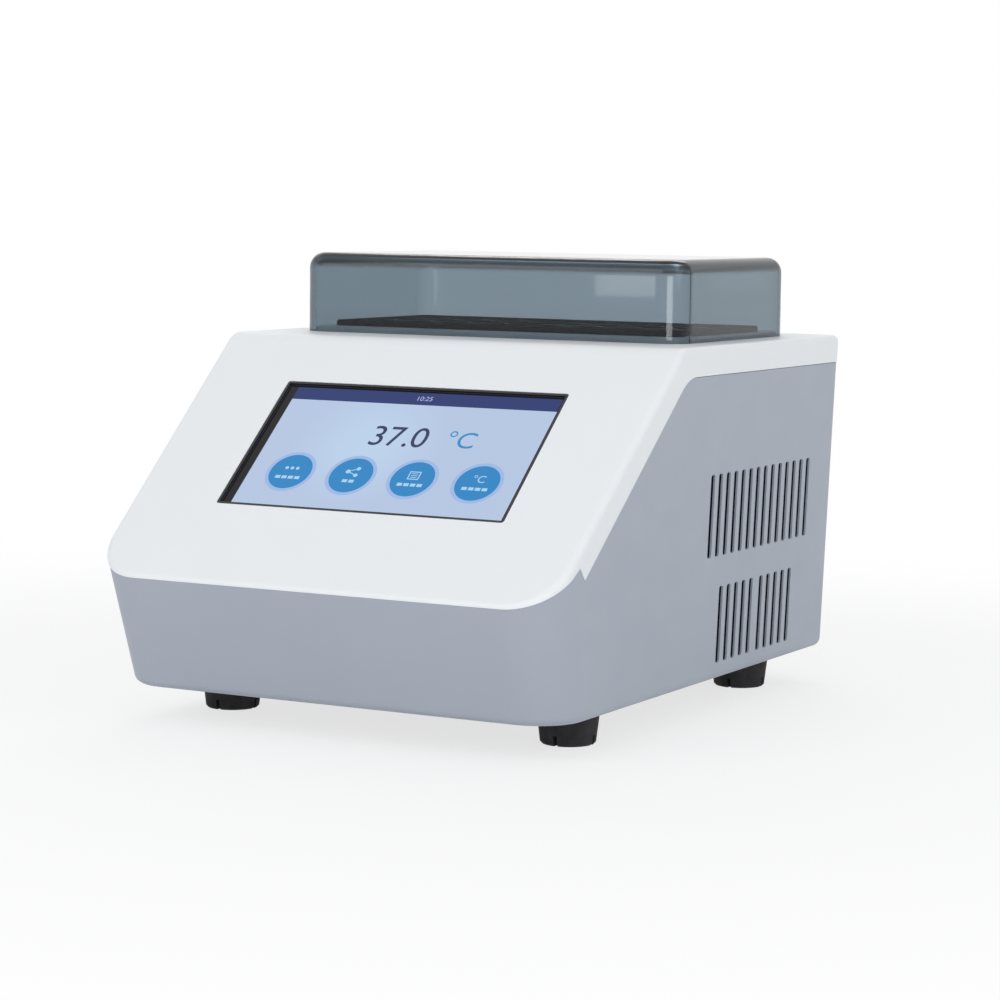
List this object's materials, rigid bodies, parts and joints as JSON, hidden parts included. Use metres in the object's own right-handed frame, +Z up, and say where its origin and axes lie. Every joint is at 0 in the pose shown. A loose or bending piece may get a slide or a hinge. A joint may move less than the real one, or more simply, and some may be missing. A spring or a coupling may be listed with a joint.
{
  "type": "dry bath incubator",
  "caption": "Benchtop dry bath incubator with a sloping touch display, side vents, a clear lid over heated and cooled tube blocks, and a mains inlet with switch and fuse drawer at the rear.",
  "frame": {"origin": "centre of the footprint, on the surface that the feet stand on", "axes": "+X to the right seen from the front, +Y to the back, +Z up"},
  "size_m": [0.2578, 0.329, 0.226],
  "materials": {
    "white_plastic": "satin moulded, fine grain",
    "grey_plastic": "satin moulded, fine grain",
    "filter_foam": "open-cell foam",
    "foot_rubber": "matte",
    "screw_steel": "zinc plated",
    "bezel_plastic": "satin",
    "screen_glass": "lit display behind smooth glass",
    "gasket_foam": "foam",
    "display_tray": "satin",
    "sheet_steel": "zinc plated",
    "circuit_board": "solder mask",
    "lid_acrylic": "clear smoke tint, polished",
    "collar_plastic": "satin",
    "insulation_foam": "closed-cell foam",
    "supply_aluminium": "mill finish",
    "standoff_brass": "turned",
    "inlet_plastic": "satin",
    "contact_brass": "nickel plated",
    "rocker_plastic": "smooth",
    "drawer_plastic": "satin",
    "fuse_glass": "clear with metal caps",
    "block_aluminium": "black anodised, machined",
    "plate_aluminium": "milled",
    "module_ceramic": "ceramic",
    "heatsink_aluminium": "extruded",
    "sensor_steel": "drawn tube",
    "fan_plastic": "satin",
    "rotor_plastic": "satin"
  },
  "bodies": {
    "base": {"block_collar": "collar_plastic", "bridge_front": "sheet_steel", "bridge_rear": "sheet_steel", "bridge_screws": "screw_steel", "case_screws": "screw_steel", "chassis_plate": "sheet_steel", "chassis_screws": "screw_steel", "control_board": "circuit_board", "control_screws": "screw_steel", "control_standoffs": "standoff_brass", "display_bezel": "bezel_plastic", "display_board": "circuit_board", "display_bracket": "sheet_steel", "display_gasket": "gasket_foam", "display_screws": "screw_steel", "fan_housing_left": "fan_plastic", "fan_housing_right": "fan_plastic", "fan_screws": "screw_steel", "foot_front_left": "foot_rubber", "foot_front_right": "foot_rubber", "foot_rear_left": "foot_rubber", "foot_rear_right": "foot_rubber", "foot_screws": "screw_steel", "heat_plate_left": "plate_aluminium", "heat_plate_right": "plate_aluminium", "heatsink_left": "heatsink_aluminium", "heatsink_right": "heatsink_aluminium", "inlet_housing": "inlet_plastic", "inlet_pins": "contact_brass", "inlet_screws": "screw_steel", "insulation": "insulation_foam", "lcd_module": "display_tray", "lower_housing": "grey_plastic", "sensor_left": "sensor_steel", "sensor_right": "sensor_steel", "stack_screws": "screw_steel", "supply_board": "circuit_board", "supply_cover": "supply_aluminium", "supply_screws": "screw_steel", "supply_tray": "supply_aluminium", "thermo_module_left_inner": "module_ceramic", "thermo_module_left_outer": "module_ceramic", "thermo_module_right_inner": "module_ceramic", "thermo_module_right_outer": "module_ceramic", "touch_glass": "screen_glass", "upper_cover": "white_plastic", "vent_filters": "filter_foam"},
    "lid": {"lid": "lid_acrylic"},
    "block_left": {"block_left": "block_aluminium"},
    "block_right": {"block_right": "block_aluminium"},
    "fan_left": {"fan_rotor_left": "rotor_plastic"},
    "fan_right": {"fan_rotor_right": "rotor_plastic"},
    "switch": {"rocker": "rocker_plastic"},
    "drawer": {"fuse_drawer": "drawer_plastic", "fuses": "fuse_glass"}
  },
  "joints": [
    {"name": "lid_lift", "type": "slide", "parent": "base", "child": "lid", "axis": [0, 0, 1], "range_m": [0, 0.1]},
    {"name": "block_left_lift", "type": "slide", "parent": "base", "child": "block_left", "axis": [0, 0, 1], "range_m": [0, 0.03]},
    {"name": "block_right_lift", "type": "slide", "parent": "base", "child": "block_right", "axis": [0, 0, 1], "range_m": [0, 0.03]},
    {"name": "fan_left_spin", "type": "hinge", "parent": "base", "child": "fan_left", "pos_m": [-0.04935, 0.0678, 0.0642], "axis": [0, 0, 1], "continuous": true},
    {"name": "fan_right_spin", "type": "hinge", "parent": "base", "child": "fan_right", "pos_m": [0.04935, 0.0678, 0.0642], "axis": [0, 0, 1], "continuous": true},
    {"name": "power_rocker", "type": "hinge", "parent": "base", "child": "switch", "pos_m": [0.055, 0.159, 0.0945], "axis": [1, 0, 0], "range_deg": [0, 18]},
    {"name": "fuse_drawer_slide", "type": "slide", "parent": "base", "child": "drawer", "axis": [0, 1, 0], "range_m": [0, 0.018]}
  ]
}
